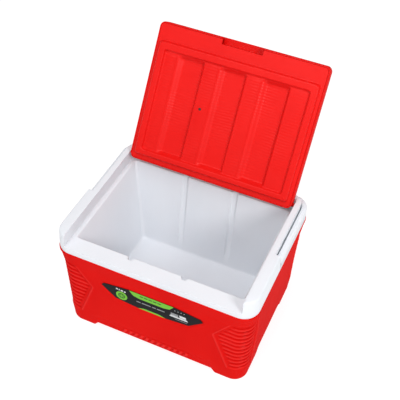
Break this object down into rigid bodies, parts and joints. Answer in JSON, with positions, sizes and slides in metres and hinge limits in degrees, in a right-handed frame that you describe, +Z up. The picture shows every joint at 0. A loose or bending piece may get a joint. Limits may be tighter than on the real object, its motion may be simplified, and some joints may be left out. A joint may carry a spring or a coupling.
{
  "type": "insulated cooler box",
  "caption": "Small insulated cooler box with an open white tub, a foam-filled hinged lid and a bail handle that folds round the back of its rim.",
  "frame": {"origin": "on the floor, under the centre of the open cooler's bounding box", "axes": "+Z up; -Y towards the labelled front; +X to the right of someone facing that front; the lid's hinge and the folded handle's bar are on the +Y side"},
  "size_m": [0.3312, 0.3457, 0.3997],
  "materials": {
    "red_shell": "satin",
    "foam_body": "matte",
    "white_liner": "satin",
    "black_label": "satin",
    "red_plug": "matte",
    "white_pin_left": "satin",
    "white_pin_right": "satin",
    "red_lid": "satin",
    "red_lid_panel": "satin",
    "foam_lid": "matte",
    "dark_plug": "matte",
    "red_pin_left": "matte",
    "red_pin_right": "matte",
    "white_handle": "satin"
  },
  "bodies": {
    "cooler_body": {"outer_shell": "red_shell", "body_foam": "foam_body", "inner_liner": "white_liner", "front_label": "black_label", "base_fill_plug": "red_plug", "handle_pivot_left": "white_pin_left", "handle_pivot_right": "white_pin_right"},
    "lid": {"lid_cover": "red_lid", "lid_inner_panel": "red_lid_panel", "lid_foam": "foam_lid", "lid_fill_plug": "dark_plug", "lid_hinge_pin_left": "red_pin_left", "lid_hinge_pin_right": "red_pin_right"},
    "handle": {"bail_handle": "white_handle"}
  },
  "joints": [
    {"name": "lid_hinge", "type": "hinge", "parent": "cooler_body", "child": "lid", "pos_m": [0, 0.0509, 0.2024], "axis": [1, 0, 0], "range_deg": [0, 122]},
    {"name": "handle_swing", "type": "hinge", "parent": "cooler_body", "child": "handle", "pos_m": [0, -0.0523, 0.1896], "axis": [1, 0, 0], "range_deg": [0, 90]}
  ],
  "couplings": [
    {"joint": "handle_swing", "follows": "lid_hinge", "ratio": 0.7377}
  ]
}
